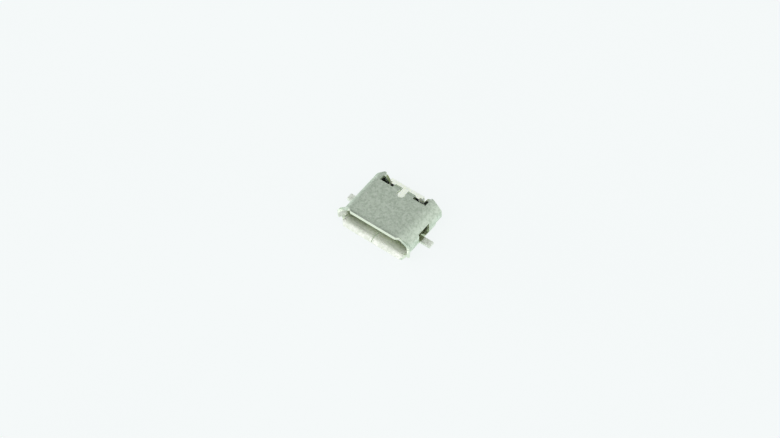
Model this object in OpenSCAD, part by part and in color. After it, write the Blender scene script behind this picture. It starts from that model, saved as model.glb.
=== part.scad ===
// Micro-B socket for a board edge: a folded sheet shell round a moulded insulator with five contacts.
// Sizes are in millimetres. The mouth faces -Y, the board is the plane z = 0, and the seam lies on x = 0.
// Distances along the socket are counted from the mouth, the front edge of the side walls.

/* [Plug opening] */
// Width between the side walls
plug_w = 6.9; // [6.7:0.05:7.4]
// Height between the floor and the top
plug_h = 1.85; // [1.8:0.05:2.2]
// Inset of the bevel at each upper corner
bevel_w = 0.95; // [0.8:0.05:1.1]
// Drop of the bevel at each upper corner
bevel_h = 1; // [0.85:0.05:1.1]
// Depth from the mouth to the insulator's block
plug_depth = 3.45; // [3:0.05:3.6]

/* [Shell] */
// Thickness of the sheet
sheet_t = 0.3; // [0.2:0.05:0.35]
// Inside radius of the folds along the tube
fold_r = 0.15; // [0.1:0.05:0.25]
// Length of the top
top_l = 4.42; // [4.3:0.02:5]
// Cut into the rear edge of the top, beside the tabs
top_relief = 0.12; // [0.05:0.01:0.2]
// Length of the floor
floor_l = 4.1; // [3.9:0.05:4.2]
// Reach of the rear ears behind the top
ear_l = 0.93; // [0.85:0.02:1.2]
// Height of the ears' lower edge above the board
ear_rise = 0.6; // [0.5:0.05:0.9]
// Gap of the seam in the floor
seam_gap = 0.05; // [0.02:0.01:0.1]
// Width of the dovetail that locks the seam, at its neck
dovetail_w = 0.8; // [0.6:0.05:1.2]
// Reach of the dovetail across the seam
dovetail_l = 0.55; // [0.4:0.05:0.8]
// Widening of the dovetail on each side, for each unit of its reach
dovetail_taper = 0.25; // [0.1:0.05:0.4]
// Distance of the dovetail's middle from the mouth
dovetail_y = 2.9; // [2.6:0.05:3.2]

/* [Mouth flaps] */
// Reach of the upper flap ahead of the mouth
upper_flap_l = 0.42; // [0.3:0.02:0.7]
// Width of the upper flap's front edge
upper_flap_w = 5.06; // [4.6:0.02:5.2]
// Upward angle of the upper flap
upper_flap_angle = 12; // [5:1:30]
// Inside radius of the upper flap's bend
upper_flap_r = 0.6; // [0.2:0.05:0.7]
// Reach of the lower flap ahead of the mouth
lower_flap_l = 0.62; // [0.5:0.02:0.8]
// Width of the lower flap's front edge
lower_flap_w = 6.35; // [5.8:0.05:6.5]
// Downward angle of the lower flap
lower_flap_angle = 45; // [30:1:48]
// Inside radius of the lower flap's bend
lower_flap_r = 0.45; // [0.3:0.05:0.5]
// Reach of the side flaps, from their bend to their front edge
side_flap_l = 0.83; // [0.7:0.01:0.9]
// Reach of the side flaps ahead of the mouth, where they run on over the bevels
bevel_flap_l = 0.06; // [0.04:0.01:0.12]
// Height of the side flaps' front edge
side_flap_w = 0.6; // [0.4:0.05:0.7]
// Outward angle of the side flaps
side_flap_angle = 35; // [20:1:40]
// Inside radius of the side flaps' bend
side_flap_r = 0.2; // [0.1:0.05:0.25]
// Distance of the side flaps' bend from the mouth
side_flap_y = 0.45; // [0.35:0.05:0.6]
// Slit at each end of a side flap
flap_slit = 0.05; // [0.02:0.01:0.1]
// How much thinner the drawn flaps are than the sheet, on each face and for each joint
flap_thinning = 0.005; // [0.004:0.001:0.01]

/* [Feet] */
// Distance of the feet's middle from the mouth
foot_y = 2.37; // [2.2:0.05:2.6]
// Width of each foot
foot_w = 0.68; // [0.5:0.02:0.8]
// Distance from the seam to a foot's tip
foot_reach = 4.76; // [4.4:0.02:5.2]
// Slit on each side of a foot, through the fold of the floor
foot_slit = 0.1; // [0.06:0.02:0.2]
// Gap ahead of the foot in the window that it was cut from
window_ahead = 0.23; // [0.2:0.01:0.4]
// Gap behind the foot in the window
window_behind = 0.66; // [0.4:0.02:0.8]
// Height of the window's lower edge above the board
window_low = 0.45; // [0.4:0.05:0.6]
// Height of the window's upper edge above the board
window_high = 1.52; // [1.2:0.02:1.6]

/* [Latch windows] */
// Distance from the seam to the middle of each latch window
latch_x = 1.95; // [1.7:0.05:2.1]
// Width of each latch window
latch_w = 1.15; // [0.9:0.05:1.3]
// Length of each latch window
latch_l = 0.85; // [0.6:0.05:0.9]
// Distance of the latch windows' front edge from the mouth
latch_y = 0.95; // [0.7:0.05:1]

/* [Rear tabs and clips] */
// Width of each rear tab
tab_w = 0.8; // [0.7:0.05:0.95]
// Gap between the rear tabs
tab_gap = 0.7; // [0.5:0.05:0.75]
// Flat of the tabs behind the top's rear edge, ahead of their fold
tab_run = 0.03; // [0.01:0.01:0.06]
// Inside radius of the tabs' fold
tab_r = 0.05; // [0.02:0.01:0.08]
// Height of the tabs' lower ends above the board
tab_end = 1.45; // [1.4:0.05:1.7]
// Radius of the round notch between the tabs
notch_r = 0.4; // [0.38:0.01:0.5]
// Distance from the notch's middle to the rear edge of the top
notch_y = 0.34; // [0.25:0.01:0.4]
// Slit between the top and each corner clip
clip_slit = 0.24; // [0.22:0.02:0.3]
// Downward angle of the clips
clip_angle = 62; // [50:1:75]
// Length of the clips below their bend
clip_l = 0.65; // [0.5:0.05:0.75]
// Distance from the rim's front face to the front edge of the clips
clip_setback = 0.24; // [0.1:0.02:0.3]
// Width of the clips along the socket
clip_w = 0.3; // [0.2:0.02:0.36]

/* [Insulator] */
// Clearance between the insulator and the sheet
fit = 0.03; // [0.02:0.01:0.06]
// Width of the tongue
tongue_w = 3.5; // [3.3:0.05:3.7]
// Thickness of the tongue
tongue_t = 0.6; // [0.5:0.05:0.7]
// Gap between the tongue and the top
tongue_gap = 0.42; // [0.35:0.02:0.5]
// Distance of the tongue's tip from the mouth
tongue_y = 0.95; // [0.8:0.05:1.2]
// Chamfer at the tongue's tip
tongue_chamfer = 0.14; // [0.05:0.01:0.2]
// Height of the rear rim above the board
rim_h = 2.3; // [1.9:0.05:2.4]
// Length of the rear rim
rim_l = 0.54; // [0.5:0.02:0.58]
// Gap between the insulator and the board behind the floor
board_gap = 0.05; // [0.02:0.01:0.1]
// Depth of the boss's top below the top of the shell
boss_drop = 0.08; // [0:0.02:0.3]
// Wall between the contacts and the hollow on each side of the block
hollow_wall = 0.09; // [0.05:0.02:0.15]
// Width of the hollow on each side of the block
hollow_w = 0.85; // [0.6:0.05:0.9]
// Length of the hollows
hollow_l = 0.85; // [0.6:0.05:0.95]
// Height of the hollows' bottom above the board
hollow_low = 0.55; // [0.5:0.05:0.8]
// Wall between each hollow and the recess beside it
recess_wall = 0.2; // [0.15:0.05:0.3]
// Length of the recesses at the block's front corners
recess_l = 0.75; // [0.5:0.05:0.8]

/* [Contacts] */
// Spacing of the contacts
pitch = 0.65; // [0.6:0.01:0.68]
// Width of each contact
contact_w = 0.4; // [0.3:0.02:0.45]
// Thickness of each contact
contact_t = 0.15; // [0.1:0.01:0.18]
// Inside radius of the contacts' bends
contact_r = 0.1; // [0.05:0.01:0.15]
// Height of the contacts below the tongue's face
contact_proud = 0.03; // [0:0.01:0.06]
// Distance from the tongue's tip to the contacts' tips
contact_setback = 0.22; // [0.2:0.02:0.4]
// Clearance round each contact in its channel
contact_fit = 0.01; // [0.01:0.005:0.02]
// Reach of the solder tails behind the insulator
tail_l = 0.75; // [0.5:0.05:1]

/* [Hidden] */
$fn = 64;
// Largest step of an arc, in degrees
step_angle = 7.5;
// Overlap that carries a cut cleanly through a face
cut = 1;
// Depth of the side flaps' roots inside the sheet of the tube
flap_root = 0.1;
body_w = plug_w + 2 * sheet_t;
body_h = plug_h + 2 * sheet_t;
half_w = body_w / 2;
// Outer radius of the folds along the tube
outer_r = fold_r + sheet_t;
// Angle between the top and the bevels, and between the bevels and the side walls
bevel_angle = atan2(bevel_h, bevel_w);
side_angle = 90 - bevel_angle;
// Axes of the folds on the +X side, at the floor, at the foot of the bevel and at the top
floor_fold = [half_w - outer_r, outer_r];
side_fold = [half_w - outer_r, body_h - bevel_h - outer_r * tan(side_angle / 2)];
top_fold = [half_w - bevel_w - outer_r * tan(bevel_angle / 2), body_h - outer_r];
// Flat of the bevels, between their folds
bevel_flat = norm(top_fold - side_fold);
// Front edge of the tube between the side flaps' slits, just behind their bend
side_cut = side_flap_y + flap_thinning;
// Rear end of the ears
ear_end = top_l + ear_l;
// Front and rear faces of the folded tabs, and half the width of the pair
tab_front = top_l + tab_run + tab_r;
tab_rear = tab_front + sheet_t;
tabs_half = tab_gap / 2 + tab_w;
// Ends of the clips: their inner face, lowest, and their outer face, nearest the seam
clip_low = top_fold[1] + fold_r * cos(clip_angle) - clip_l * sin(clip_angle);
clip_inner = top_fold[0] - outer_r * sin(clip_angle) - clip_l * cos(clip_angle);
// Front and rear faces of the insulator's rim, and the front edge of the clips
rim_front = top_l + clip_slit;
rim_rear = rim_front + rim_l;
clip_front = rim_front + clip_setback;
// Number of contacts, and the distance from the seam to the outermost one
contact_count = 5;
row_half = pitch * (contact_count - 1) / 2;
// Distances from the seam to the near and far walls of the hollows
hollow_in = row_half + contact_w / 2 + hollow_wall;
hollow_out = hollow_in + hollow_w;
// Underside of the tongue, and the lower face of the contacts under it
tongue_low = body_h - sheet_t - tongue_gap - tongue_t;
contact_low = tongue_low - contact_proud;

// A direction in the plane
function heading(angle) = [cos(angle), sin(angle)];

// Points of an arc from one angle to another
function arc(centre, r, from, to) =
    let (steps = ceil(abs(to - from) / step_angle))
    [for (i = [0 : steps]) centre + r * heading(from + (to - from) * i / steps)];

// Half of the tube's section on the +X side, from the floor to the top, at the radius r round the folds
function half_section(r) = concat(
    arc(floor_fold, r, -90, 0),
    arc(side_fold, r, 0, side_angle),
    arc(top_fold, r, side_angle, 90)
);

// The same points on the other side of the seam, in the opposite order
function mirrored(points) = [for (i = [len(points) - 1 : -1 : 0]) [-points[i][0], points[i][1]]];

// The tube's section after its surface has moved inwards by depth
module section(depth) {
    side = half_section(outer_r - depth);
    polygon(concat(side, mirrored(side)));
}

// Side view of a strip bent anticlockwise round a centre, with a straight lead before it and a run after it
function bent_points(centre, r, thickness, start, turn, lead, run) =
    let (
        end = start + turn,
        lead_in = -lead * heading(start + 90),
        run_out = run * heading(end + 90),
        outer = arc(centre, r + thickness, start, end),
        inner = arc(centre, r, end, start),
        last = len(outer) - 1
    )
    concat(
        lead > 0 ? [inner[last] + lead_in, outer[0] + lead_in] : [],
        outer,
        run > 0 ? [outer[last] + run_out, inner[0] + run_out] : [],
        inner
    );

module bent_strip(centre, r, thickness, start, turn, lead, run) {
    polygon(bent_points(centre, r, thickness, start, turn, lead, run));
}

// Extrudes an outline in x and z from one distance behind the mouth to another
module along_y(from, to) {
    translate([0, to, 0]) rotate([90, 0, 0]) linear_extrude(to - from) children();
}

// Extrudes an outline in y and z from one distance off the seam to another
module along_x(from, to) {
    translate([from, 0, 0]) rotate([90, 0, 90]) linear_extrude(to - from) children();
}

// A box between two opposite corners
module block(low, high) {
    translate(low) cube(high - low);
}

// Draws the children on both sides of the seam
module both_sides() {
    children();
    mirror([1, 0, 0]) children();
}

// Draws the children on the +X bevel: x is outwards from the folds' axes, and z is up along the bevel
module on_bevel() {
    translate([side_fold[0], 0, side_fold[1]]) rotate([0, -side_angle, 0]) children();
}

// Moves the mouth forwards, so that the line through the feet passes the origin
module placed() {
    translate([0, -foot_y, 0]) children();
}

// Profile of a mouth flap: x is ahead of its bend, and y is outwards from the outer face of the wall
function flap_points(r, angle, reach, thinning, root) =
    let (
        inner_r = r + sheet_t - thinning,
        straight = (reach - inner_r * sin(angle)) / cos(angle)
    )
    bent_points([0, r], r + thinning, sheet_t - 2 * thinning, -90, angle, root, straight);

// Profile of a side flap, with a root inside the sheet
function side_flap_points(thinning) =
    flap_points(side_flap_r, side_flap_angle, side_flap_l, thinning, flap_root);

// A mouth flap of a wall whose outer face is z = 0, on its flat and round the folds at its ends
module flap(r, angle, reach, front_w, flat_half, turn) {
    profile = flap_points(r, angle, reach, flap_thinning, 0);
    intersection() {
        union() {
            along_x(-flat_half, flat_half) mirror([1, 0]) polygon(profile);
            both_sides() translate([flat_half, 0, -outer_r]) rotate([90, 0, 0])
                rotate_extrude(angle = turn, start = 90 - turn)
                    translate([outer_r, 0]) mirror([1, -1]) polygon(profile);
        }
        linear_extrude(2 * body_h, center = true) polygon([
            [-front_w / 2 - reach, 0],
            [-front_w / 2, -reach],
            [front_w / 2, -reach],
            [front_w / 2 + reach, 0]
        ]);
    }
}

// Plan of the dovetail that reaches across the seam, grown by a gap on its sides and its end
module dovetail(gap) {
    neck = dovetail_w / 2 + gap * norm([1, dovetail_taper]);
    reach = dovetail_l + gap;
    end = neck + dovetail_taper * reach;
    translate([0, dovetail_y]) polygon([[0, -neck], [0, neck], [-reach, end], [-reach, -end]]);
}

// Plan of the gap where the two edges of the sheet meet, straight but for one dovetail
module seam_plan() {
    difference() {
        union() {
            translate([-seam_gap, -cut]) square([seam_gap, floor_l + 2 * cut]);
            dovetail(seam_gap);
        }
        dovetail(0);
    }
}

// Everything that is cut from the folded tube
module shell_cuts() {
    // seam and latch windows in the floor
    translate([0, 0, -cut]) linear_extrude(cut + outer_r) seam_plan();
    both_sides() block(
        [latch_x - latch_w / 2, latch_y, -cut],
        [latch_x + latch_w / 2, latch_y + latch_l, outer_r]
    );
    // flat of the floor behind its rear edge
    block([-floor_fold[0], floor_l, -cut], [floor_fold[0], top_l + cut, outer_r]);
    // round notch between the tabs, open behind the top
    translate([0, top_l - notch_y, body_h - outer_r]) cylinder(r = notch_r, h = outer_r + cut);
    block([-tab_gap / 2, top_l - notch_y, body_h - outer_r], [tab_gap / 2, top_l + cut, body_h + cut]);
    both_sides() {
        // rear edge of the top, beside the tabs
        block([tabs_half, top_l - top_relief, body_h - outer_r], [top_fold[0], top_l + cut, body_h + cut]);
        // side wall, fold and slanted end of the bevel, where the side flap stands
        block([floor_fold[0], -cut, floor_fold[1]], [half_w + cut, side_cut, side_fold[1]]);
        along_y(-cut, side_cut) polygon([
            side_fold,
            side_fold + (outer_r + cut) * heading(0),
            side_fold + (outer_r + cut) * heading(side_angle)
        ]);
        on_bevel() along_x(0, outer_r + cut) polygon([
            [-cut, 0],
            [side_cut, 0],
            [side_cut - side_flap_y, bevel_flat],
            [-cut, bevel_flat]
        ]);
        // window in the side wall
        block(
            [top_fold[0], foot_y - foot_w / 2 - window_ahead, window_low],
            [half_w + cut, foot_y + foot_w / 2 + window_behind, window_high]
        );
        // opening in the fold below the window, round the foot
        block(
            [floor_fold[0], foot_y - foot_w / 2 - foot_slit, -cut],
            [half_w + cut, foot_y + foot_w / 2 + foot_slit, window_low]
        );
    }
}

// One foot: the floor runs on flat under the window
module foot() {
    block([floor_fold[0], foot_y - foot_w / 2, 0], [foot_reach, foot_y + foot_w / 2, sheet_t]);
}

// The part of a side flap on the bevel, where its bend slants forwards and meets the mouth at the top fold
module bevel_flap() {
    slant = atan2(side_flap_y, bevel_flat);
    on_bevel() intersection() {
        translate([0, side_flap_y, 0]) rotate([slant, 0, 0]) linear_extrude(2 * body_h, center = true)
            polygon([for (p = side_flap_points(2 * flap_thinning)) [outer_r + p[1], -p[0] * cos(slant)]]);
        block([0, -body_h, 0], [body_h, body_h, bevel_flat - flap_slit]);
    }
}

// One side flap of the mouth, on the flat of the side wall, its upper fold and the bevel
module side_flap() {
    profile = side_flap_points(flap_thinning);
    low = floor_fold[1] + flap_slit;
    middle = (floor_fold[1] + side_fold[1]) / 2;
    front = side_flap_y - side_flap_l;
    intersection() {
        union() {
            translate([floor_fold[0], side_flap_y, low]) linear_extrude(side_fold[1] - low)
                translate([outer_r, 0]) rotate(-90) polygon(profile);
            translate([side_fold[0], side_flap_y, side_fold[1]]) rotate([90, 0, 0])
                rotate_extrude(angle = side_angle, start = 0)
                    translate([outer_r, 0]) mirror([1, -1]) polygon(profile);
            bevel_flap();
        }
        along_x(0, body_w) polygon([
            [side_flap_y + cut, 0],
            [side_flap_y, 0],
            [front, middle - side_flap_w / 2],
            [front, middle + side_flap_w / 2],
            [-bevel_flap_l, middle + side_flap_w / 2 - bevel_flap_l - front],
            [-bevel_flap_l, 2 * body_h],
            [side_flap_y + cut, 2 * body_h]
        ]);
    }
}

// One rear tab, folded down from the top
module rear_tab() {
    axis = [top_l + tab_run, body_h - sheet_t - tab_r];
    along_x(tab_gap / 2, tabs_half) bent_strip(axis, tab_r, sheet_t, 0, 90, axis[1] - tab_end, tab_run);
}

// One rear ear: the side wall and the bevel run on behind the top, and a clip is bent down at their end
module ear() {
    along_y(top_l, ear_end) intersection() {
        difference() {
            section(0);
            section(sheet_t);
        }
        translate([top_fold[0], ear_rise]) square([half_w, body_h]);
    }
    along_y(clip_front, clip_front + clip_w) bent_strip(top_fold, fold_r, sheet_t, 90, clip_angle, 0, clip_l);
}

module shell() {
    color([0.74, 0.77, 0.73]) placed() {
        difference() {
            union() {
                along_y(0, top_l) difference() {
                    section(0);
                    section(sheet_t);
                }
                translate([0, 0, body_h]) flap(
                    upper_flap_r, upper_flap_angle, upper_flap_l, upper_flap_w, top_fold[0], bevel_angle
                );
                mirror([0, 0, 1]) flap(
                    lower_flap_r, lower_flap_angle, lower_flap_l, lower_flap_w, floor_fold[0], 90
                );
            }
            shell_cuts();
        }
        both_sides() {
            side_flap();
            foot();
            rear_tab();
            ear();
        }
    }
}

// Side view of one contact, widened by clear on both its faces
module contact_profile(clear) {
    inner = contact_r - clear;
    thick = contact_t + 2 * clear;
    tip = tongue_y + contact_setback - clear;
    upper = [rim_rear - contact_t - contact_r, contact_low - contact_r];
    lower = [rim_rear + contact_r, contact_t + contact_r];
    bent_strip(upper, inner, thick, 0, 90, upper[1] - lower[1], upper[0] - tip);
    bent_strip(lower, inner, thick, 180, 90, 0, tail_l - contact_r);
}

// One contact, counted from 0 at the -X end of the row
module contact_strip(index, clear) {
    x = index * pitch - row_half;
    along_x(x - contact_w / 2 - clear, x + contact_w / 2 + clear) contact_profile(clear);
}

module contact(index) {
    color([0.86, 0.73, 0.42]) placed() contact_strip(index, 0);
}

// The tongue, chamfered at its tip
module tongue() {
    root = plug_depth + tongue_chamfer;
    along_x(-tongue_w / 2, tongue_w / 2) polygon([
        [tongue_y, tongue_low + tongue_chamfer],
        [tongue_y + tongue_chamfer, tongue_low],
        [root, tongue_low],
        [root, tongue_low + tongue_t],
        [tongue_y + tongue_chamfer, tongue_low + tongue_t],
        [tongue_y, tongue_low + tongue_t - tongue_chamfer]
    ]);
}

// The block that fills the tube behind the plug, and the shelf behind it under the clips
module rear_block() {
    shelf = clip_low - fit;
    along_y(plug_depth, top_l) section(sheet_t + fit);
    along_y(top_l, rim_rear) intersection() {
        section(sheet_t + fit);
        translate([-half_w, 0]) square([body_w, shelf]);
    }
    // lower part that stands just clear of the board, behind the floor
    block([fit - floor_fold[0], floor_l + fit, board_gap], [floor_fold[0] - fit, rim_rear, shelf]);
    block([fit - clip_inner, rim_front, sheet_t], [clip_inner - fit, rim_rear, rim_h]);
}

// Boss with a round head that fills the notch between the tabs
module boss() {
    head_y = top_l - notch_y;
    stem_half = tab_gap / 2 - fit;
    translate([0, 0, tongue_low]) linear_extrude(body_h - boss_drop - tongue_low) {
        translate([0, head_y]) circle(notch_r - fit);
        translate([-stem_half, head_y]) square([2 * stem_half, tab_rear + 2 * fit - head_y]);
    }
}

module insulator() {
    color([0.93, 0.94, 0.87]) placed() difference() {
        union() {
            tongue();
            difference() {
                rear_block();
                // pocket for the folded tabs, and the slits beside them
                block(
                    [-tabs_half - fit, tab_front - fit, tab_end - fit],
                    [tabs_half + fit, tab_rear + fit, body_h]
                );
                block([-hollow_out, tab_front - fit, tab_end - fit], [hollow_out, rim_front, body_h]);
                // hollows that thin the moulding on both sides of the contacts
                both_sides() block(
                    [hollow_in, rim_front - hollow_l, hollow_low],
                    [hollow_out, clip_front, body_h]
                );
                // recesses at the block's front corners, behind the windows in the side walls
                both_sides() block(
                    [hollow_out + recess_wall, plug_depth - cut, 0],
                    [half_w, plug_depth + recess_l, body_h]
                );
            }
            boss();
        }
        for (index = [0 : contact_count - 1]) contact_strip(index, contact_fit);
    }
}

shell();
insulator();
contact(0);  // contact_1
contact(1);  // contact_2
contact(2);  // contact_3
contact(3);  // contact_4
contact(4);  // contact_5
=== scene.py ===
"""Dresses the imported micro-B socket: a plated folded shell, a moulded insulator and a row of gilt contacts.

Sizes in the classes are in millimetres, as in the part's own drawing.
They become metres when a mesh is placed.
"""

import logging
import math
from collections.abc import Sequence
from dataclasses import dataclass
from enum import Enum
from typing import Any

import bmesh
import bpy
from mathutils import Matrix, Vector
from mathutils.bvhtree import BVHTree


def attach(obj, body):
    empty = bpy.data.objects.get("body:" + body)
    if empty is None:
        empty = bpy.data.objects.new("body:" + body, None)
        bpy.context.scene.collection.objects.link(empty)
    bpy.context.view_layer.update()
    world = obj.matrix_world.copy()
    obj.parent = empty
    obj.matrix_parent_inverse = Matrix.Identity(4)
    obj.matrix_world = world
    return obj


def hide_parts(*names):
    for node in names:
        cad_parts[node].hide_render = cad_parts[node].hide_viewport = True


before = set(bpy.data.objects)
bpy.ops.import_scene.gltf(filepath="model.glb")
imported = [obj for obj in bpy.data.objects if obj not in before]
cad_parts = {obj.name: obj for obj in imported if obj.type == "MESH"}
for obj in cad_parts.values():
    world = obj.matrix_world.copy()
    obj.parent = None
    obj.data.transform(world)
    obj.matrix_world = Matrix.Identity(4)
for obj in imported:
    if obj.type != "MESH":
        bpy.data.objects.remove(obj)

LOG = logging.getLogger("socket")
MM = 0.001
FRAME_PX = (780, 438)


def linear(colour: str) -> tuple[float, float, float, float]:
    """Turns an sRGB hex colour into linear values.

    Args:
        colour: Six hex digits after a hash sign.

    Returns:
        Linear red, green and blue, and full alpha.
    """
    values = [int(colour[i : i + 2], 16) / 255 for i in (1, 3, 5)]
    spread = [v / 12.92 if v <= 0.04045 else ((v + 0.055) / 1.055) ** 2.4 for v in values]
    return (spread[0], spread[1], spread[2], 1.0)


def per_mm(size: float) -> float:
    """Gives the texture scale of a pattern whose features are this many millimetres wide."""
    return 1.0 / (size * MM)


def add_node(
    tree: bpy.types.NodeTree, kind: str, inputs: dict[str | int, Any] | None = None, **settings: Any
) -> bpy.types.Node:
    """Adds one node, sets its options and fills its inputs.

    Args:
        tree: Tree that gets the node.
        kind: Blender's identifier of the node.
        inputs: Values by input name or number; a socket is linked.
        settings: Options of the node itself.

    Returns:
        The new node.
    """
    node = tree.nodes.new(kind)
    for name, value in settings.items():
        setattr(node, name, value)
    for key, value in (inputs or {}).items():
        if isinstance(value, bpy.types.NodeSocket):
            tree.links.new(value, node.inputs[key])
        else:
            node.inputs[key].default_value = value
    return node


def add_noise(
    tree: bpy.types.NodeTree,
    place: bpy.types.NodeSocket,
    scale: float,
    detail: float,
    roughness: float = 0.5,
) -> bpy.types.NodeSocket:
    """Adds a noise pattern.

    Args:
        tree: Tree that gets the node.
        place: Place at which the pattern is read.
        scale: Texture scale of the pattern.
        detail: Number of finer layers.
        roughness: Strength of each finer layer against the one before it.

    Returns:
        The pattern, from 0 to 1.
    """
    inputs = {"Vector": place, "Scale": scale, "Detail": detail, "Roughness": roughness}
    return add_node(tree, "ShaderNodeTexNoise", inputs).outputs["Fac"]


def add_range(
    tree: bpy.types.NodeTree,
    value: bpy.types.NodeSocket,
    source: tuple[float, float] = (0.0, 1.0),
    target: tuple[float, float] = (0.0, 1.0),
    **settings: Any,
) -> bpy.types.NodeSocket:
    """Maps one range of values to another and stops at its ends.

    Args:
        tree: Tree that gets the node.
        value: Value to map.
        source: Ends of the range that is read.
        target: Ends of the range that is given.
        settings: Options of the node itself.

    Returns:
        The mapped value.
    """
    inputs = {
        "Value": value,
        "From Min": source[0],
        "From Max": source[1],
        "To Min": target[0],
        "To Max": target[1],
    }
    return add_node(tree, "ShaderNodeMapRange", inputs, **settings).outputs["Result"]


def add_blend(
    tree: bpy.types.NodeTree, share: bpy.types.NodeSocket, first: str | bpy.types.NodeSocket, second: str
) -> bpy.types.NodeSocket:
    """Blends two colours.

    Args:
        tree: Tree that gets the node.
        share: Share of the second colour.
        first: Hex colour, or the colour from another node.
        second: Hex colour.

    Returns:
        The blended colour.
    """
    start = linear(first) if isinstance(first, str) else first
    inputs = {0: share, 6: start, 7: linear(second)}
    return add_node(tree, "ShaderNodeMix", inputs, data_type="RGBA").outputs[2]


def add_bump(
    tree: bpy.types.NodeTree, height: bpy.types.NodeSocket, depth: float, **settings: Any
) -> bpy.types.Node:
    """Adds relief to the shading.

    Args:
        tree: Tree that gets the node.
        height: Pattern of the relief.
        depth: Depth of the relief, in millimetres.
        settings: Options of the node itself.

    Returns:
        The relief's node.
    """
    inputs = {"Height": height, "Strength": 1.0, "Distance": depth * MM}
    return add_node(tree, "ShaderNodeBump", inputs, **settings)


def blank_material(name: str) -> tuple[bpy.types.Material, bpy.types.NodeTree, bpy.types.NodeSocket]:
    """Makes a material that has only the place on the piece so far.

    Args:
        name: Name of the material.

    Returns:
        The material, its tree and the place, in metres.
    """
    material = bpy.data.materials.new(name)
    material.use_nodes = True
    material.node_tree.nodes.clear()
    place = add_node(material.node_tree, "ShaderNodeTexCoord").outputs["Object"]
    return material, material.node_tree, place


def end_material(tree: bpy.types.NodeTree, inputs: dict[str | int, Any]) -> None:
    """Ends a material's tree with its shader.

    Args:
        tree: Tree that gets the nodes.
        inputs: Values and sockets of the shader.
    """
    shader = add_node(tree, "ShaderNodeBsdfPrincipled", inputs)
    add_node(tree, "ShaderNodeOutputMaterial", {"Surface": shader.outputs["BSDF"]})


class SheetFace(Enum):
    """Kinds of surface on the folded sheet, numbered as the shell's material slots."""

    OUTSIDE = 0
    INSIDE = 1
    SHEARED = 2
    DIPPED = 3
    ARRIS = 4


class MouldFace(Enum):
    """Kinds of surface on the moulding, numbered as the insulator's material slots."""

    # Faces painted almost black as painted shade, where the shell keeps the light out.
    PAINTED_SHADE = 0
    OPEN = 1


@dataclass(frozen=True)
class PlatedSheet:
    """Tin-plated steel strip, rolled and then tumbled with thousands of others.

    The eye sees a satin grey with cloudy patches and short fine scratches that run every way.
    """

    name: str
    dull: str
    bright: str
    scratch: str
    rough_low: float
    rough_high: float
    # Painted shade: colour that the strip fades to behind the mouth, if it does, and where the fade begins
    # and ends.
    depth: str = ""
    painted_shade_from_mm: float = -2.2
    painted_shade_to_mm: float = -1.4
    cloud_mm: float = 0.4
    # Parts of the cloud's range over which the colour and the gloss change.
    cloud_span: tuple[float, float] = (0.41, 0.59)
    gloss_span: tuple[float, float] = (0.3, 0.7)
    scratch_long_mm: float = 0.9
    # A real scratch is about 0.01 mm wide and would not show, so it is drawn five times as wide.
    scratch_wide_mm: float = 0.05
    # Only the peaks of the stretched noise become scratches.
    scratch_span: tuple[float, float] = (0.63, 0.78)
    # Turn of each set of scratches about Z, and the tilt of all about X and Y, in radians.
    scratch_turns: tuple[float, ...] = (0.35, 1.0, 1.9, 2.6)
    scratch_tilt: float = 0.2
    scratch_deep_mm: float = 0.006
    grain_mm: float = 0.06
    grain_deep_mm: float = 0.003

    def scratches(self, tree: bpy.types.NodeTree, place: bpy.types.NodeSocket) -> bpy.types.NodeSocket:
        """Draws one set of strokes for each direction and lays the sets over each other.

        Args:
            tree: Tree that gets the nodes.
            place: Place on the piece.

        Returns:
            The strokes, 1 where a scratch is deepest.
        """
        across = self.scratch_wide_mm * MM
        marks = None
        for turn in self.scratch_turns:
            inputs = {
                "Vector": place,
                "Rotation": (self.scratch_tilt, self.scratch_tilt, turn),
                "Scale": (self.scratch_long_mm * MM, across, across),
            }
            turned = add_node(tree, "ShaderNodeMapping", inputs, vector_type="TEXTURE").outputs["Vector"]
            lines = add_range(tree, add_noise(tree, turned, 1.0, 1.0), self.scratch_span)
            if marks is not None:
                both = add_node(tree, "ShaderNodeMath", {0: marks, 1: lines}, operation="MAXIMUM")
                lines = both.outputs["Value"]
            marks = lines
        return marks

    def material(self) -> bpy.types.Material:
        """Builds the material.

        Returns:
            Metal with clouded colour, clouded gloss, scratches and fine grain, and painted shade behind the
            mouth if a shade colour is given.
        """
        material, tree, place = blank_material(self.name)
        cloud = add_noise(tree, place, per_mm(self.cloud_mm), 3.0, 0.75)
        grain = add_noise(tree, place, per_mm(self.grain_mm), 2.0)
        marks = self.scratches(tree, place)
        patches = add_range(tree, cloud, self.cloud_span)
        colour = add_blend(tree, marks, add_blend(tree, patches, self.dull, self.bright), self.scratch)
        # Painted shade: the colour darkens with distance behind the mouth, deeper in the tube.
        if self.depth:
            behind = add_node(tree, "ShaderNodeSeparateXYZ", {"Vector": place}).outputs["Y"]
            painted_shade_share = add_range(tree, behind, (self.painted_shade_from_mm * MM, self.painted_shade_to_mm * MM))
            colour = add_blend(tree, painted_shade_share, colour, self.depth)
        rough = add_range(tree, cloud, self.gloss_span, (self.rough_high, self.rough_low))
        fine = add_bump(tree, grain, self.grain_deep_mm)
        cut = add_bump(tree, marks, self.scratch_deep_mm, invert=True)
        tree.links.new(fine.outputs["Normal"], cut.inputs["Normal"])
        end_material(
            tree,
            {"Base Color": colour, "Metallic": 1.0, "Roughness": rough, "Normal": cut.outputs["Normal"]},
        )
        return material


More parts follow.
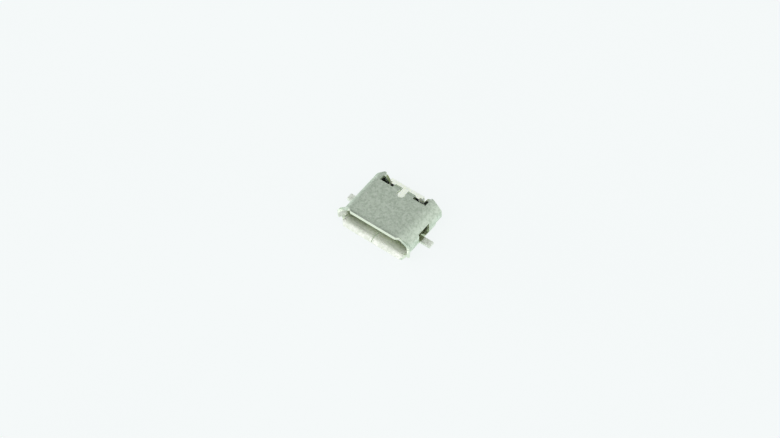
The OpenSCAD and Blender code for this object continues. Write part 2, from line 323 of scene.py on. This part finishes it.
@dataclass(frozen=True)
class ShearedEdge:
    """Edge of the strip where the die cut it, plated over.

    The eye sees a thin bright line, because the cut is cleaner than the tumbled faces.
    """

    name: str
    dull: str
    bright: str
    rough_low: float
    rough_high: float
    tear_mm: float = 0.08
    tear_deep_mm: float = 0.012

    def material(self) -> bpy.types.Material:
        """Builds the material.

        Returns:
            Bright metal with the small tears of a sheared edge.
        """
        material, tree, place = blank_material(self.name)
        tears = add_noise(tree, place, per_mm(self.tear_mm), 3.0)
        end_material(
            tree,
            {
                "Base Color": add_blend(tree, tears, self.dull, self.bright),
                "Metallic": 1.0,
                "Roughness": add_range(tree, tears, target=(self.rough_low, self.rough_high)),
                "Normal": add_bump(tree, tears, self.tear_deep_mm).outputs["Normal"],
            },
        )
        return material


@dataclass(frozen=True)
class MouldedPlastic:
    """Liquid crystal polymer, injection moulded in a spark-eroded tool.

    The eye sees a matt ivory white with faint flow streaks and a very fine, even grain.
    """

    name: str
    pale: str
    deep: str
    streak_mm: float = 0.9
    streak_long_mm: float = 2.7
    grain_mm: float = 0.05
    grain_deep_mm: float = 0.006
    rough_low: float = 0.45
    rough_high: float = 0.65
    ior: float = 1.6
    # Share of the light that passes under the skin, and how far its red, green and blue reach there.
    glow: float = 0.15
    glow_mm: tuple[float, float, float] = (0.2, 0.2, 0.15)

    def material(self) -> bpy.types.Material:
        """Builds the material.

        Returns:
            Matt plastic with flow streaks along the moulding and an eroded grain.
        """
        material, tree, place = blank_material(self.name)
        scale = (per_mm(self.streak_mm), per_mm(self.streak_long_mm), per_mm(self.streak_mm))
        along = add_node(tree, "ShaderNodeMapping", {"Vector": place, "Scale": scale}).outputs["Vector"]
        streaks = add_noise(tree, along, 1.0, 5.0)
        grain = add_noise(tree, place, per_mm(self.grain_mm), 2.0)
        end_material(
            tree,
            {
                "Base Color": add_blend(tree, streaks, self.deep, self.pale),
                "Roughness": add_range(tree, grain, target=(self.rough_low, self.rough_high)),
                "IOR": self.ior,
                "Subsurface Weight": self.glow,
                "Subsurface Radius": tuple(reach * MM for reach in self.glow_mm),
                "Subsurface Scale": 1.0,
                "Normal": add_bump(tree, grain, self.grain_deep_mm).outputs["Normal"],
            },
        )
        return material


@dataclass(frozen=True)
class GiltStrip:
    """Phosphor bronze strip with a flash of gold, tinned at the solder tails.

    The eye sees a soft yellow gloss with drawn lines along the strip, and a grey white on the tails.
    """

    name: str = "phosphor_bronze_gold_flash"
    gold_pale: str = "#E2C07A"
    gold_deep: str = "#C79F55"
    tin: str = "#D5D8D2"
    rough_low: float = 0.22
    rough_high: float = 0.42
    # Real rolling lines are a few thousandths wide; these are as coarse as they need to be to show.
    line_mm: float = 0.03
    line_long_mm: float = 0.8
    line_deep_mm: float = 0.0015
    tin_from_mm: float = 2.8
    tin_to_mm: float = 2.95

    def material(self) -> bpy.types.Material:
        """Builds the material.

        Returns:
            Gold with drawn lines that turns to tin behind the insulator.
        """
        material, tree, place = blank_material(self.name)
        scale = (per_mm(self.line_mm), per_mm(self.line_long_mm), per_mm(self.line_long_mm))
        drawn = add_node(tree, "ShaderNodeMapping", {"Vector": place, "Scale": scale}).outputs["Vector"]
        lines = add_noise(tree, drawn, 1.0, 3.0)
        gold = add_blend(tree, lines, self.gold_deep, self.gold_pale)
        behind = add_node(tree, "ShaderNodeSeparateXYZ", {"Vector": place}).outputs["Y"]
        edge = (self.tin_from_mm * MM, self.tin_to_mm * MM)
        tinned = add_range(tree, behind, edge, interpolation_type="SMOOTHSTEP")
        end_material(
            tree,
            {
                "Base Color": add_blend(tree, tinned, gold, self.tin),
                "Metallic": 1.0,
                "Roughness": add_range(tree, lines, target=(self.rough_low, self.rough_high)),
                "Normal": add_bump(tree, lines, self.line_deep_mm).outputs["Normal"],
            },
        )
        return material


@dataclass(frozen=True)
class PaperSweep:
    """Uncoated white card, as laid under small parts for a picture.

    The eye sees an even, nearly white ground with only a breath of shadow on it.
    """

    name: str = "white_card_uncoated"
    pale: str = "#F7FBFB"
    deep: str = "#F5F9F9"
    cloud_mm: float = 30.0
    glow: float = 0.88

    def material(self) -> bpy.types.Material:
        """Builds the material.

        Returns:
            Matt card whose own shade carries most of what the lens and the metal see of it.
        """
        material, tree, place = blank_material(self.name)
        colour = add_blend(tree, add_noise(tree, place, per_mm(self.cloud_mm), 2.0), self.deep, self.pale)
        matt = add_node(tree, "ShaderNodeBsdfDiffuse", {"Color": colour}).outputs["BSDF"]
        ground = add_node(tree, "ShaderNodeEmission", {"Color": colour}).outputs["Emission"]
        path = add_node(tree, "ShaderNodeLightPath").outputs
        seen = path["Is Camera Ray"]
        for ray in ("Is Glossy Ray", "Is Transmission Ray"):
            either = add_node(tree, "ShaderNodeMath", {0: seen, 1: path[ray]}, operation="MAXIMUM")
            seen = either.outputs["Value"]
        share = add_range(tree, seen, target=(0.0, self.glow))
        shader = add_node(tree, "ShaderNodeMixShader", {0: share, 1: matt, 2: ground})
        add_node(tree, "ShaderNodeOutputMaterial", {"Surface": shader.outputs["Shader"]})
        return material


def placed_piece(name: str, mesh: bpy.types.Mesh) -> bpy.types.Object:
    """Scales a mesh from millimetres to metres and links it as a piece at the origin.

    Args:
        name: Name of the piece.
        mesh: Mesh in millimetres.

    Returns:
        The new object.
    """
    mesh.name = name
    mesh.transform(Matrix.Scale(MM, 4))
    piece = bpy.data.objects.new(name, mesh)
    bpy.context.scene.collection.objects.link(piece)
    return piece


def evaluated_mesh(draft: bpy.types.Object) -> bpy.types.Mesh:
    """Turns a draft with modifiers into a plain mesh and deletes the draft.

    Args:
        draft: Object with live modifiers.

    Returns:
        The mesh that the modifiers give.
    """
    bpy.context.view_layer.update()
    graph = bpy.context.evaluated_depsgraph_get()
    mesh = bpy.data.meshes.new_from_object(draft.evaluated_get(graph), depsgraph=graph)
    old = draft.data
    bpy.data.objects.remove(draft)
    bpy.data.meshes.remove(old)
    return mesh


@dataclass
class EasedSolid:
    """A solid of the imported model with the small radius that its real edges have."""

    node: str
    name: str
    slot: str
    radius: float
    segments: int = 2
    # Points nearer to each other than this become one. The shell's is wider and closes steps at its flaps.
    weld: float = 0.0002
    # A cut that passes a point within this distance goes through it.
    snap: float = 0.002
    # Points that the radius leaves nearer to each other than this become one.
    double: float = 0.0005
    # Faces that turn by less than the first are one flat. Edges that turn by more than the second are sharp.
    flat_deg: float = 1.0
    crease_deg: float = 32.0
    # An edge beside a face narrower than this stays plain, because the radius would not fit.
    narrowest: float = 0.06

    def welded(self) -> bmesh.types.BMesh:
        """Copies the node's triangles in millimetres and joins them.

        Returns:
            A closed mesh of triangles.
        """
        body = bmesh.new()
        body.from_mesh(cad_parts[self.node].data)
        bmesh.ops.scale(body, vec=Vector((1, 1, 1)) / MM, verts=body.verts)
        bmesh.ops.remove_doubles(body, verts=body.verts, dist=self.weld)
        bmesh.ops.dissolve_degenerate(body, dist=self.weld, edges=body.edges)
        bmesh.ops.delete(body, geom=self.inner_faces(body), context="FACES")
        for face in body.faces:
            face.material_index = 0
        return body

    def inner_faces(self, body: bmesh.types.BMesh) -> list[bmesh.types.BMFace]:
        """Finds sheets of faces inside the solid, left where two of its faces lay on each other.

        Args:
            body: The welded solid.

        Returns:
            The faces of each sheet, reached from its loose edge and up to the solid's skin.
        """
        reached = [edge.link_faces[0] for edge in body.edges if len(edge.link_faces) == 1]
        found = set(reached)
        while reached:
            inner = [edge for edge in reached.pop().edges if len(edge.link_faces) == 2]
            beside = {face for edge in inner for face in edge.link_faces} - found
            found |= beside
            reached.extend(beside)
        return list(found)

    def cut_faces(self, body: bmesh.types.BMesh, place: Sequence[float], across: Sequence[float]) -> None:
        """Cuts the faces that a plane crosses, so that no finish ends inside a face.

        Args:
            body: The welded solid.
            place: Point of the plane.
            across: Direction across the plane.
        """
        geometry = [*body.verts, *body.edges, *body.faces]
        bmesh.ops.bisect_plane(body, geom=geometry, dist=self.snap, plane_co=place, plane_no=across)

    def sort_faces(self, body: bmesh.types.BMesh) -> None:
        """Gives faces their material slots; a solid of one finish has nothing to sort."""

    def materials(self) -> list[bpy.types.Material]:
        """Gives the materials in the order of the slots."""
        raise NotImplementedError

    def soften(self, mesh: bpy.types.Mesh) -> None:
        """Bends the shading of the finished mesh; most solids keep it as it is."""

    def mark_edges(self, body: bmesh.types.BMesh) -> int:
        """Marks the edges that get a radius.

        Args:
            body: The welded solid with its flats joined.

        Returns:
            How many edges were marked.
        """
        weight = body.edges.layers.float.new("bevel_weight_edge")
        count = 0
        for edge in body.edges:
            if len(edge.link_faces) != 2:
                continue
            sharp = edge.calc_face_angle(0.0) > math.radians(self.crease_deg)
            edge.smooth = not sharp
            if sharp and min(self.width_beside(edge, face) for face in edge.link_faces) > self.narrowest:
                edge[weight] = 1.0
                count += 1
        return count

    def width_beside(self, edge: bmesh.types.BMEdge, face: bmesh.types.BMFace) -> float:
        """Measures how far a face reaches from one of its edges.

        Args:
            edge: Edge of the face.
            face: Face beside the edge.

        Returns:
            The largest distance of the face's corners from the edge's line.
        """
        start = edge.verts[0].co
        along = (edge.verts[1].co - start).normalized()
        return max((v.co - start - along * (v.co - start).dot(along)).length for v in face.verts)

    def build(self) -> bpy.types.Object:
        """Builds the piece that stands for the node.

        Returns:
            The dressed piece, riding on the part's body.
        """
        body = self.welded()
        self.sort_faces(body)
        bmesh.ops.dissolve_limit(
            body,
            angle_limit=math.radians(self.flat_deg),
            verts=body.verts,
            edges=body.edges,
            delimit={"MATERIAL"},
        )
        for face in body.faces:
            face.smooth = True
        marked = self.mark_edges(body)
        mesh = bpy.data.meshes.new(self.name)
        body.to_mesh(mesh)
        body.free()
        for material in self.materials():
            mesh.materials.append(material)
        draft = bpy.data.objects.new(self.name + "_draft", mesh)
        bpy.context.scene.collection.objects.link(draft)
        ease = draft.modifiers.new("eased edges", "BEVEL")
        ease.limit_method = "WEIGHT"
        ease.width = self.radius
        ease.segments = self.segments
        ease.use_clamp_overlap = False
        ease.harden_normals = True
        ease.material = len(mesh.materials) - 1
        draft.modifiers.new("merged doubles", "WELD").merge_threshold = self.double
        eased = evaluated_mesh(draft)
        self.soften(eased)
        piece = placed_piece(self.name, eased)
        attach(piece, "root")
        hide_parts(self.node)
        LOG.info("%s: %d edges eased, %d faces", self.name, marked, len(piece.data.polygons))
        return piece


@dataclass
class Shell(EasedSolid):
    """The folded strip: outside, inside, sheared edges and their rubbed corners each have a finish."""

    sheet_t: float = 0.3
    axis_z: float = 1.225
    # With less metal than this many thicknesses behind it, a face is a side of the strip and not a cut edge.
    thin_limit: float = 1.15
    # Depth under a face at which the ray through the metal starts.
    skin: float = 0.01
    # Line, on each side, that the shading of the bevels swings round, and how much of that swing it takes.
    round_x: float = 2.607
    round_z: float = 0.3
    roundness: float = 0.75
    # Faces whose normal leans further along the tube than this keep their shading.
    level: float = 0.02
    # The feet stand outside the side walls and are dipped in solder.
    foot_x: float = 3.76
    foot_y: float = 0.4
    foot_z: float = 0.32

    def soften(self, mesh: bpy.types.Mesh) -> None:
        """Turns the shading of the bevels a little, because a pressed corner is never quite flat.

        Args:
            mesh: The eased mesh in millimetres.
        """
        normals = [corner.vector.copy() for corner in mesh.corner_normals]
        for face in mesh.polygons:
            if face.material_index != SheetFace.OUTSIDE.value or abs(face.normal.y) > self.level:
                continue
            for loop in face.loop_indices:
                place = mesh.vertices[mesh.loops[loop].vertex_index].co
                out_x = abs(place.x) - self.round_x
                out_z = place.z - self.round_z
                if out_x <= 0 or out_z <= 0:
                    continue
                swing = Vector((math.copysign(out_x, place.x), 0.0, out_z)).normalized()
                normals[loop] = normals[loop].lerp(swing, self.roundness).normalized()
        mesh.normals_split_custom_set(normals)

    def sort_faces(self, body: bmesh.types.BMesh) -> None:
        """Tells the strip's two faces from its cut edges by the metal behind each triangle.

        Args:
            body: The welded solid.
        """
        for side in (-1, 1):
            self.cut_faces(body, (side * self.foot_x, 0, 0), (1, 0, 0))
        tree = BVHTree.FromBMesh(body)
        for face in body.faces:
            centre = face.calc_center_median()
            hit = tree.ray_cast(centre - face.normal * self.skin, -face.normal)
            thin = hit[3] is not None and hit[3] + self.skin < self.thin_limit * self.sheet_t
            outward = face.normal.x * centre.x + face.normal.z * (centre.z - self.axis_z)
            if abs(centre.x) > self.foot_x and abs(centre.y) < self.foot_y and centre.z < self.foot_z:
                kind = SheetFace.DIPPED
            elif not thin:
                kind = SheetFace.SHEARED
            elif outward < 0:
                kind = SheetFace.INSIDE
            else:
                kind = SheetFace.OUTSIDE
            face.material_index = kind.value

    def materials(self) -> list[bpy.types.Material]:
        """Gives the strip's finishes in the order of SheetFace."""
        return [
            PlatedSheet("tin_plate_tumbled", "#C2D2BF", "#DEEDDB", "#F4FBF2", 0.36, 0.46).material(),
            # The same tin plate as the outside, painted paler as painted light, and fading to painted shade
            # deeper in the tube.
            PlatedSheet(
                "tin_plate_inside_painted_light_and_shade", "#EBF0E6", "#FAFCF6", "#FAFCF7", 0.6, 0.72, depth="#A9B590"
            ).material(),
            ShearedEdge("tin_plate_sheared", "#E2EFD8", "#F3FAEB", 0.32, 0.5).material(),
            PlatedSheet("solder_dip_dull", "#E6ECE2", "#F6FAF3", "#F8FBF6", 0.75, 0.9).material(),
            ShearedEdge("tin_plate_rubbed_corner", "#E4EFDC", "#F4FAED", 0.25, 0.35).material(),
        ]


@dataclass
class Insulator(EasedSolid):
    """The moulding with its tongue, block, boss and rim, and a deep pocket on each side of the boss, painted
    in shade.
    """

    # Opposite corners, on the +X side, of the hollow behind the top, of the recess behind the window and of
    # the front of the plug under the clip. Faces inside these boxes are painted almost black as painted
    # shade.
    painted_shade_boxes: tuple[tuple[tuple[float, float, float], tuple[float, float, float]], ...] = (
        ((1.16, 1.42, 0.5), (2.46, 2.3, 2.22)),
        ((2.0, 1.0, 0.34), (3.5, 1.85, 2.2)),
        ((2.1, 2.5, 1.46), (3.5, 2.6, 2.2)),
    )
    # Outline, in x and z, of the plug that closes the gap under the +X clip, and its front and rear faces.
    # The plug's front face lies in the third box and is painted almost black as painted shade.
    plug_outline: tuple[tuple[float, float], ...] = ((2.21, 1.45), (3.24, 1.45), (2.72, 2.04), (2.51, 2.04))
    plug_y: tuple[float, float] = (2.58, 2.82)

    def welded(self) -> bmesh.types.BMesh:
        """Copies the moulding and stands a plug under each clip.

        Returns:
            A mesh of closed solids.
        """
        body = super().welded()
        for side in (-1, 1):
            front, rear = (
                [body.verts.new((side * x, y, z)) for x, z in self.plug_outline] for y in self.plug_y
            )
            faces = [body.faces.new(front), body.faces.new(rear)]
            for i, first in enumerate(front):
                j = (i + 1) % len(front)
                faces.append(body.faces.new((first, front[j], rear[j], rear[i])))
            bmesh.ops.recalc_face_normals(body, faces=faces)
        return body

    def sort_faces(self, body: bmesh.types.BMesh) -> None:
        """Cuts the faces along the sides of the boxes and gives the walls inside them painted shade.

        Args:
            body: The welded solid.
        """
        for side in (-1, 1):
            for corner in (corner for pocket in self.painted_shade_boxes for corner in pocket):
                for across in ((1, 0, 0), (0, 1, 0)):
                    self.cut_faces(body, (side * corner[0], corner[1], corner[2]), across)
        for face in body.faces:
            centre = face.calc_center_median()
            centre.x = abs(centre.x)
            inside = any(
                all(low < value < high for low, value, high in zip(lows, centre, highs))
                for lows, highs in self.painted_shade_boxes
            )
            # A face inside a box gets painted shade; the rest keep the plastic's own ivory.
            kind = MouldFace.PAINTED_SHADE if inside else MouldFace.OPEN
            face.material_index = kind.value

    def mark_edges(self, body: bmesh.types.BMesh) -> int:
        """Marks the edges that get a radius and leaves those beside painted shade plain.

        Args:
            body: The welded solid with its flats joined.

        Returns:
            How many edges were marked.
        """
        count = super().mark_edges(body)
        weight = body.edges.layers.float["bevel_weight_edge"]
        for edge in body.edges:
            beside_painted_shade = any(face.material_index == MouldFace.PAINTED_SHADE.value for face in edge.link_faces)
            if beside_painted_shade and edge[weight] > 0:
                edge[weight] = 0.0
                count -= 1
        return count

    def materials(self) -> list[bpy.types.Material]:
        """Gives the moulding's finishes in the order of MouldFace."""
        return [
            # Painted shade: the same ivory plastic, painted almost black where the shell keeps nearly all
            # light out.
            MouldedPlastic("liquid_crystal_polymer_painted_shade", "#2A302B", "#20251F").material(),
            MouldedPlastic("liquid_crystal_polymer_moulded", "#F8FEF2", "#EEF8E8").material(),
        ]


@dataclass
class ContactRow:
    """Five formed strips in a row: along the tongue, down behind the block and out to the board."""

    name: str = "contact_row"
    count: int = 5
    pitch: float = 0.65
    width: float = 0.4
    thickness: float = 0.15
    corner: float = 0.03
    corner_steps: int = 3
    bend: float = 0.175
    bend_steps: int = 10
    tip_y: float = -1.2
    upper_z: float = 1.175
    leg_y: float = 2.755
    tail_y: float = 3.58
    lower_z: float = 0.075
    # Edges that turn by more than this are sharp.
    crease_deg: float = 50.0

    def tree(self, material: bpy.types.Material) -> bpy.types.NodeTree:
        """Builds the node tree that bends one strip and repeats it.

        Args:
            material: Finish of the strips.

        Returns:
            The tree, with an input for each size.
        """
        tree = bpy.data.node_groups.new("formed_strips", "GeometryNodeTree")
        tree.interface.new_socket("Strips", in_out="OUTPUT", socket_type="NodeSocketGeometry")
        tree.interface.new_socket("Count", in_out="INPUT", socket_type="NodeSocketInt")
        points = ("Tip", "Shoulder", "Heel", "Tail")
        for size in ("Pitch", "Width", "Thickness", "Corner", "Bend"):
            tree.interface.new_socket(size, in_out="INPUT", socket_type="NodeSocketFloat")
        for point in points:
            tree.interface.new_socket(point, in_out="INPUT", socket_type="NodeSocketVector")
        given = add_node(tree, "NodeGroupInput").outputs
        line = add_node(tree, "GeometryNodeCurvePrimitiveLine").outputs["Curve"]
        four = add_node(tree, "GeometryNodeResampleCurve", {"Curve": line, "Count": len(points)})
        order = add_node(tree, "GeometryNodeInputIndex").outputs["Index"]
        choice = add_node(tree, "GeometryNodeIndexSwitch", data_type="VECTOR")
        while len(choice.index_switch_items) < len(points):
            choice.index_switch_items.new()
        tree.links.new(order, choice.inputs["Index"])
        for number, point in enumerate(points):
            tree.links.new(given[point], choice.inputs[number + 1])
        route = add_node(
            tree,
            "GeometryNodeSetPosition",
            {"Geometry": four.outputs["Curve"], "Position": choice.outputs["Output"]},
        ).outputs["Geometry"]
        bent = add_node(
            tree,
            "GeometryNodeFilletCurve",
            {"Curve": route, "Radius": given["Bend"], "Count": self.bend_steps, "Limit Radius": True},
            mode="POLY",
        ).outputs["Curve"]
        facing = add_node(
            tree, "GeometryNodeSetCurveNormal", {"Curve": bent, "Normal": (1.0, 0.0, 0.0)}, mode="FREE"
        ).outputs["Curve"]
        blank = add_node(
            tree,
            "GeometryNodeCurvePrimitiveQuadrilateral",
            {"Width": given["Width"], "Height": given["Thickness"]},
        ).outputs["Curve"]
        coined = add_node(
            tree,
            "GeometryNodeFilletCurve",
            {"Curve": blank, "Radius": given["Corner"], "Count": self.corner_steps, "Limit Radius": True},
            mode="POLY",
        ).outputs["Curve"]
        strip = add_node(
            tree,
            "GeometryNodeCurveToMesh",
            {"Curve": facing, "Profile Curve": coined, "Fill Caps": True},
        ).outputs["Mesh"]
        step = add_node(tree, "ShaderNodeCombineXYZ", {"X": given["Pitch"]}).outputs["Vector"]
        gaps = add_node(tree, "ShaderNodeMath", {0: given["Count"], 1: 1.0}, operation="SUBTRACT")
        half = add_node(tree, "ShaderNodeMath", {0: gaps.outputs["Value"], 1: -0.5}, operation="MULTIPLY")
        first = add_node(
            tree, "ShaderNodeVectorMath", {0: step, "Scale": half.outputs["Value"]}, operation="SCALE"
        ).outputs["Vector"]
        row = add_node(
            tree,
            "GeometryNodeMeshLine",
            {"Count": given["Count"], "Start Location": first, "Offset": step},
        ).outputs["Mesh"]
        copies = add_node(
            tree, "GeometryNodeInstanceOnPoints", {"Points": row, "Instance": strip}
        ).outputs["Instances"]
        solid = add_node(tree, "GeometryNodeRealizeInstances", {"Geometry": copies}).outputs["Geometry"]
        dressed = add_node(
            tree, "GeometryNodeSetMaterial", {"Geometry": solid, "Material": material}
        ).outputs["Geometry"]
        add_node(tree, "NodeGroupOutput", {"Strips": dressed})
        return tree

    def build(self) -> bpy.types.Object:
        """Builds the row and lets it stand for the five contacts.

        Returns:
            The dressed piece, riding on the part's body.
        """
        tree = self.tree(GiltStrip().material())
        draft = bpy.data.objects.new(self.name + "_draft", bpy.data.meshes.new(self.name))
        bpy.context.scene.collection.objects.link(draft)
        row = draft.modifiers.new("formed strips", "NODES")
        row.node_group = tree
        values = {
            "Count": self.count,
            "Pitch": self.pitch,
            "Width": self.width,
            "Thickness": self.thickness,
            "Corner": self.corner,
            "Bend": self.bend,
            "Tip": (0.0, self.tip_y, self.upper_z),
            "Shoulder": (0.0, self.leg_y, self.upper_z),
            "Heel": (0.0, self.leg_y, self.lower_z),
            "Tail": (0.0, self.tail_y, self.lower_z),
        }
        for item in tree.interface.items_tree:
            if item.item_type == "SOCKET" and item.in_out == "INPUT":
                row[item.identifier] = values[item.name]
        mesh = evaluated_mesh(draft)
        body = bmesh.new()
        body.from_mesh(mesh)
        bmesh.ops.recalc_face_normals(body, faces=body.faces)
        for face in body.faces:
            face.smooth = True
        for edge in body.edges:
            edge.smooth = edge.calc_face_angle(0.0) < math.radians(self.crease_deg)
        body.to_mesh(mesh)
        body.free()
        piece = placed_piece(self.name, mesh)
        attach(piece, "root")
        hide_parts(*[f"contact_{number}" for number in range(1, self.count + 1)])
        LOG.info("%s: %d strips, %d faces", self.name, self.count, len(piece.data.polygons))
        return piece


@dataclass
class Studio:
    """Card floor, one soft lamp and the camera, as in the picture."""

    # The part lies on its lower lip and its solder tails, so the floor slopes a little under it.
    lip_y: float = -2.78
    lip_z: float = -0.223
    tail_y: float = 3.58
    tail_z: float = 0.0
    floor_size: float = 3000.0
    azimuth_deg: float = 36.63
    elevation_deg: float = 52.89
    lens_mm: float = 150.0
    sensor_mm: float = 36.0
    px_per_mm: float = 10.774
    origin_px: tuple[float, float] = (390.2, 221.8)
    # Nearest and farthest distance that the camera sees, in metres.
    clip_m: tuple[float, float] = (0.01, 10.0)
    # Unit direction of the shaded side of the room, and how pale the room is by how far a ray leans to it.
    shade_toward: tuple[float, float, float] = (-0.422, 0.855, 0.302)
    room_shades: tuple[tuple[float, float], ...] = (
        (0.0, 0.96),
        (0.17, 0.92),
        (0.45, 0.76),
        (0.8, 0.48),
        (1.0, 0.31),
    )
    # Direction from the part to the softbox, its distance, the length of its sides
    # and how bright its face is, where 1 is white.
    softbox_toward: tuple[float, float, float] = (-0.36, -0.533, 0.768)
    softbox_away: float = 500.0
    softbox_side: float = 620.0
    softbox_shine: float = 0.42

    def build_floor(self) -> bpy.types.Object:
        """Lays the card under the lip and the tails.

        Returns:
            The floor.
        """
        slope = (self.tail_z - self.lip_z) / (self.tail_y - self.lip_y)
        level = self.lip_z - slope * self.lip_y
        half = self.floor_size / 2
        body = bmesh.new()
        corners = [(-half, -half), (half, -half), (half, half), (-half, half)]
        body.faces.new([body.verts.new((x, y, level + slope * y)) for x, y in corners])
        mesh = bpy.data.meshes.new("card_floor")
        body.to_mesh(mesh)
        body.free()
        mesh.materials.append(PaperSweep().material())
        floor = placed_piece("card_floor", mesh)
        LOG.info("card_floor: slope %.2f degrees", math.degrees(math.atan(slope)))
        return floor

    def build_world(self) -> bpy.types.World:
        """Surrounds the part with a pale room that falls into shade behind it on the left.

        Returns:
            The world.
        """
        world = bpy.data.worlds.new("pale_room")
        world.use_nodes = True
        tree = world.node_tree
        tree.nodes.clear()
        place = add_node(tree, "ShaderNodeTexCoord").outputs["Generated"]
        away = add_node(
            tree, "ShaderNodeVectorMath", {0: place, 1: self.shade_toward}, operation="DOT_PRODUCT"
        ).outputs["Value"]
        ramp = add_node(tree, "ShaderNodeValToRGB", {"Fac": away})
        stops = ramp.color_ramp.elements
        while len(stops) < len(self.room_shades):
            stops.new(0.5)
        for stop, (position, shade) in zip(stops, self.room_shades):
            stop.position = position
            stop.color = (shade, shade, shade, 1.0)
        sky = add_node(tree, "ShaderNodeBackground", {"Color": ramp.outputs["Color"], "Strength": 1.0})
        add_node(tree, "ShaderNodeOutputWorld", {"Surface": sky.outputs["Background"]})
        bpy.context.scene.world = world
        return world

    def build_softbox(self) -> bpy.types.Object:
        """Hangs one square softbox that faces the part.

        Returns:
            The lamp.
        """
        side = self.softbox_side * MM
        light = bpy.data.lights.new("front_softbox", "AREA")
        light.shape = "SQUARE"
        light.size = side
        light.energy = self.softbox_shine * math.pi * side**2
        lamp = bpy.data.objects.new("front_softbox", light)
        way = Vector(self.softbox_toward).normalized()
        lamp.location = way * self.softbox_away * MM
        lamp.rotation_mode = "QUATERNION"
        lamp.rotation_quaternion = way.to_track_quat("Z", "Y")
        bpy.context.scene.collection.objects.link(lamp)
        LOG.info("front_softbox: %.0f mm wide, %.0f mm away", self.softbox_side, self.softbox_away)
        return lamp

    def build_camera(self) -> bpy.types.Object:
        """Sets the camera at the picture's angle, distance and framing.

        Returns:
            The camera.
        """
        turn = math.radians(self.azimuth_deg)
        rise = math.radians(self.elevation_deg)
        back = Vector((math.sin(turn) * math.cos(rise), -math.cos(turn) * math.cos(rise), math.sin(rise)))
        right = Vector((math.cos(turn), math.sin(turn), 0.0))
        up = back.cross(right)
        middle = [(size / 2 - pixel) / self.px_per_mm for size, pixel in zip(FRAME_PX, self.origin_px)]
        target = right * middle[0] - up * middle[1]
        distance = FRAME_PX[0] / self.px_per_mm * self.lens_mm / self.sensor_mm
        data = bpy.data.cameras.new("picture_camera")
        data.lens = self.lens_mm
        data.sensor_width = self.sensor_mm
        data.clip_start, data.clip_end = self.clip_m
        camera = bpy.data.objects.new("picture_camera", data)
        camera.location = (target + back * distance) * MM
        camera.rotation_mode = "QUATERNION"
        camera.rotation_quaternion = (-back).to_track_quat("-Z", "Y")
        bpy.context.scene.collection.objects.link(camera)
        bpy.context.scene.camera = camera
        LOG.info("picture_camera: %.0f mm away", distance)
        return camera

    def build(self) -> None:
        """Builds the floor, the room, the lamp and the camera."""
        self.build_floor()
        self.build_world()
        self.build_softbox()
        self.build_camera()
        bpy.context.scene.view_settings.view_transform = "Standard"


def main() -> None:
    """Builds the pieces in order, then the studio."""
    logging.basicConfig(level=logging.INFO, format="%(name)s: %(message)s")
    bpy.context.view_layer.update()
    Shell("shell", "folded_shell", "plated_sheet", radius=0.025, weld=0.0075).build()
    Insulator("insulator", "moulded_insulator", "moulded_plastic", radius=0.03).build()
    ContactRow().build()
    Studio().build()


if __name__ == "__main__":
    main()
